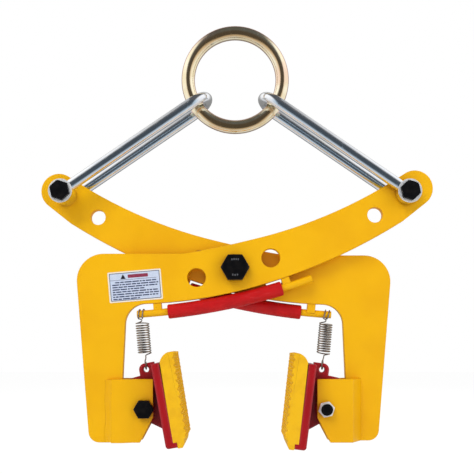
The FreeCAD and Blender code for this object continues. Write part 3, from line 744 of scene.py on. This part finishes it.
def thread(bolt, radius, pitch, bare, body):
    """Ridge of a screw thread on the bare rear end of a bolt, fading in and out over half a turn."""
    low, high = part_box(bolt)
    start = Vector(((low.x + high.x) / 2, high.y - 1.1 * MM - bare, (low.z + high.z) / 2))
    direction = Vector((0, 1, 0))
    side, up = across(direction)
    steps = int(bare / pitch * THREAD_STEPS)
    ridge = [(0, 0.12 * MM), (0.34 * pitch, -THREAD_DEPTH), (-0.34 * pitch, -THREAD_DEPTH)]
    points = []
    for i in range(steps + 1):
        turn = 2 * math.pi * i / THREAD_STEPS
        fade = min(1.0, 2 * i / THREAD_STEPS, 2 * (steps - i) / THREAD_STEPS)
        reach = radius - (1 - fade) * THREAD_DEPTH
        outward = side * math.cos(turn) + up * math.sin(turn)
        middle = start + direction * bare * i / steps
        points += [middle + direction * a + outward * (reach + b) for a, b in ridge]
    faces = joined_rings(steps + 1, len(ridge)) + end_caps(steps + 1, len(ridge))
    new_piece(f"{bolt}_thread", points, faces, looks["black_oxide"], body)


def nut_insert(nut, outward, bolt_radius, body):
    """Dark locking ring with rounded edges in the collar of a lock nut."""
    low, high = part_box(nut)
    face = low.y if outward == FRONT else high.y
    centre = Vector(((low.x + high.x) / 2, face - outward * 0.25 * MM, (low.z + high.z) / 2))
    direction = Vector((0, outward, 0))
    side, up = across(direction)
    inner, outer, depth = bolt_radius - 0.1 * MM, bolt_radius + 0.75 * MM, 0.35 * MM
    soft = 0.18 * (outer - inner)
    profile = [(inner, 0), (inner, depth - soft), (inner + soft, depth), (outer - soft, depth),
               (outer, depth - soft), (outer, 0)]
    sides, count = 48, len(profile)
    points, faces = [], []
    for k in range(sides):
        angle = 2 * math.pi * k / sides
        out = side * math.cos(angle) + up * math.sin(angle)
        points += [centre + out * reach + direction * rise for reach, rise in profile]
        for i in range(count - 1):
            a, b = k * count + i, (k + 1) % sides * count + i
            faces.append((a, b, b + 1, a + 1))
    new_piece(f"{nut}_insert", points, faces, looks["black_oxide"], body)


MARK_ROWS = ((1, (-3.0, -1.0, 1.0, 3.0)), (-1, (-2.2, 0.0, 2.2)))
MARK_ROW_UP, MARK_HALF_WIDE, MARK_HALF_TALL, MARK_RISE = 7.6 * MM, 0.62 * MM, 0.9 * MM, 0.22 * MM


def head_marks(name, node, body):
    """Short raised dashes on a bolt head's face, above and below its middle."""
    low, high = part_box(node)
    middle = (low + high) / 2
    points, faces = [], []
    for row, places in MARK_ROWS:
        for place in places:
            x = middle.x + place * MM
            z = middle.z + row * (MARK_ROW_UP - abs(place) * 0.12 * MM)
            first = len(points)
            for grow, rise in ((1.0, 0.0), (0.62, MARK_RISE)):
                wide, tall = MARK_HALF_WIDE * grow, MARK_HALF_TALL * grow
                points += [Vector((x + a * wide, low.y - rise, z + b * tall))
                           for a, b in ((-1, -1), (1, -1), (1, 1), (-1, 1))]
            faces.append(tuple(range(first + 4, first + 8)))
            for k in range(4):
                after = (k + 1) % 4
                faces.append((first + k, first + after, first + 4 + after, first + 4 + k))
    piece = new_piece(name, points, faces, stamped, body)
    piece.data.polygons.foreach_set("use_smooth", [False] * len(piece.data.polygons))


M10, M12, M16 = 5 * MM, 6 * MM, 8 * MM  # bolt radii

for side, arm in ((LEFT, "front_arm"), (RIGHT, "rear_arm")):
    pad(side)
    spring(side)
handle_sleeve("front_handle_grip", "front_arm", RIGHT)
handle_sleeve("rear_handle_grip", "rear_arm", LEFT)
label()
head_marks("pivot_head_marks", "pivot_bolt", "pivot")
cheek_weld(LEFT, "front", FRONT, "front_arm")
cheek_weld(RIGHT, "rear", REAR, "rear_arm")
for nut, outward, bolt_radius, body in (
        ("left_pad_nut", REAR, M10, "front_arm"), ("right_pad_nut", FRONT, M10, "rear_arm"),
        ("left_link_nut", REAR, M12, "left_link"), ("right_link_nut", REAR, M12, "right_link"),
        ("pivot_nut", REAR, M16, "pivot")):
    nut_insert(nut, outward, bolt_radius, body)
for body in ("left_link", "right_link"):
    thread(f"{body}_bolt", M12, 1.75 * MM, 1.9 * MM, body)
thread("pivot_bolt", M16, 2.0 * MM, 2.8 * MM, "pivot")


# ---------------------------------------------------------------- stage, light and camera

def studio_world():
    """White for the camera. Shiny surfaces see a soft box on each side, with a dark arc ahead and overhead."""
    world = bpy.data.worlds.new("studio")
    bpy.context.scene.world = world
    world.use_nodes = True
    tree = world.node_tree

    def ramp(value, low, high, to_low, to_high):
        feeds = {0: value, 1: low, 2: high, 3: to_low, 4: to_high}
        return shader_node(tree, "MapRange", feeds, interpolation_type="SMOOTHSTEP").outputs[0]

    def mix(factor, first, second):
        node = shader_node(tree, "Mix", {"Factor": factor}, data_type="RGBA")
        feed(tree, node.inputs[6], first)
        feed(tree, node.inputs[7], second)
        return node.outputs[2]

    rays = tree.nodes.new("ShaderNodeLightPath").outputs
    direction = tree.nodes.new("ShaderNodeTexCoord").outputs["Generated"]
    x, y, z = shader_node(tree, "SeparateXYZ", {0: direction}).outputs
    sideways = shader_node(tree, "Math", {0: x}, operation="ABSOLUTE").outputs[0]
    inside = ramp(sideways, 0.62, 0.34, 0.0, 1.0)
    toward = {0: direction, 1: (0.0, -0.77, 0.64)}
    ahead = shader_node(tree, "VectorMath", toward, operation="DOT_PRODUCT").outputs["Value"]
    arc = {0: inside, 1: ramp(ahead, -0.05, 0.3, 0.0, 1.0)}
    dark = shader_node(tree, "Math", arc, operation="MULTIPLY").outputs[0]
    lift = shader_node(tree, "MapRange", {0: z, 1: -0.9, 2: 0.8, 3: 0.72, 4: 1.2}).outputs[0]
    bright = shader_node(tree, "VectorMath", {0: (1.0, 1.0, 1.01), 3: lift}, operation="SCALE").outputs[0]
    room = {0: mix(dark, bright, (0.105, 0.108, 0.115, 1)), 3: ramp(y, 0.45, 0.85, 1.0, 0.32)}
    shiny = shader_node(tree, "VectorMath", room, operation="SCALE").outputs[0]
    soft = mix(rays["Is Glossy Ray"], (0.62, 0.62, 0.62, 1), shiny)
    seen = mix(rays["Is Camera Ray"], soft, (1, 1, 1, 1))
    feed(tree, tree.nodes["Background"].inputs["Color"], seen)


LIGHTS = {"key": ((-0.9, -1.6, 1.5), 24), "fill": ((1.5, -1.3, 0.5), 9), "back": ((0.3, 1.7, 1.2), 12)}
LIGHT_SIZE = 1.4


def soft_light(name, place, target, power):
    lamp = bpy.data.lights.new(name, "AREA")
    lamp.shape = "DISK"
    lamp.size = LIGHT_SIZE
    lamp.energy = power
    thing = bpy.data.objects.new(name, lamp)
    bpy.context.scene.collection.objects.link(thing)
    thing.location = place
    thing.rotation_euler = (target - place).to_track_quat("-Z", "Y").to_euler()
    thing.visible_glossy = False
    thing.visible_camera = False


FLOOR_REACH, FLOOR_GLOW, FLOOR_GLOW_SHARE = 4.0, 1.06, 0.85


def pale_floor(height):
    """Pale floor: nearly white to the camera, with a faint soft shadow."""
    corners = [(x * FLOOR_REACH, y * FLOOR_REACH, height) for x, y in ((-1, -1), (1, -1), (1, 1), (-1, 1))]
    floor = new_piece("floor", corners, [(0, 1, 2, 3)], [])
    material = bpy.data.materials.new("pale_floor")
    material.use_nodes = True
    tree = material.node_tree
    paint = tree.nodes["Principled BSDF"]
    paint.inputs["Base Color"].default_value = (0.86, 0.86, 0.86, 1)
    paint.inputs["Roughness"].default_value = 0.9
    glow = shader_node(tree, "Emission", {"Color": (1, 1, 1, 1), "Strength": FLOOR_GLOW})
    seen = tree.nodes.new("ShaderNodeLightPath").outputs["Is Camera Ray"]
    share = shader_node(tree, "Math", {0: seen, 1: FLOOR_GLOW_SHARE}, operation="MULTIPLY")
    blend = shader_node(tree, "MixShader", {0: share.outputs[0], 1: paint.outputs[0], 2: glow.outputs[0]})
    tree.links.new(blend.outputs[0], tree.nodes["Material Output"].inputs["Surface"])
    floor.data.materials.append(material)
    floor.visible_glossy = False
    floor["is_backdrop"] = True


CAMERA_ACROSS, CAMERA_DISTANCE, CAMERA_HEIGHT = 0.0018, 0.7, -0.255
FRAME_WIDTH, FRAME_MIDDLE = 0.4645, -0.1536  # what the picture spans at the origin's depth, and its mid height
HOOK_SWING = 0.045  # how far the hooks reach down as the arms close, beyond the pivot's own drop
SENSOR_WIDTH = 36.0


def shift_lens(amount):
    """Raise the frame while the camera stands at its own height and distance, and not in any other view."""
    curve = lens.driver_add("shift_y")
    curve.driver.type = "SCRIPTED"
    for name, channel in (("y", "LOC_Y"), ("z", "LOC_Z")):
        variable = curve.driver.variables.new()
        variable.name = name
        variable.type = "TRANSFORMS"
        variable.targets[0].id = camera
        variable.targets[0].transform_type = channel
    near = f"abs(y + {CAMERA_DISTANCE}) < 0.0005 and abs(z - {CAMERA_HEIGHT}) < 0.0005"
    curve.driver.expression = f"{amount:.5f} if {near} else 0"


low, high = (Vector(corner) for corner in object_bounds())
centre = (low + high) / 2
studio_world()
pale_floor(low.z - joints["pivot_drop"]["range_m"][1] - HOOK_SWING)
for name, (offset, power) in LIGHTS.items():
    soft_light(name, centre + Vector(offset), centre, power)

lens = bpy.data.cameras.new("camera")
lens.sensor_width = SENSOR_WIDTH
lens.lens = SENSOR_WIDTH * CAMERA_DISTANCE / FRAME_WIDTH
camera = bpy.data.objects.new("camera", lens)
bpy.context.scene.collection.objects.link(camera)
camera.location = (CAMERA_ACROSS, -CAMERA_DISTANCE, CAMERA_HEIGHT)
camera.rotation_euler = (math.pi / 2, 0, 0)
shift_lens((FRAME_MIDDLE - CAMERA_HEIGHT) / FRAME_WIDTH)
bpy.context.scene.camera = camera
bpy.context.scene.view_settings.view_transform = "Standard"
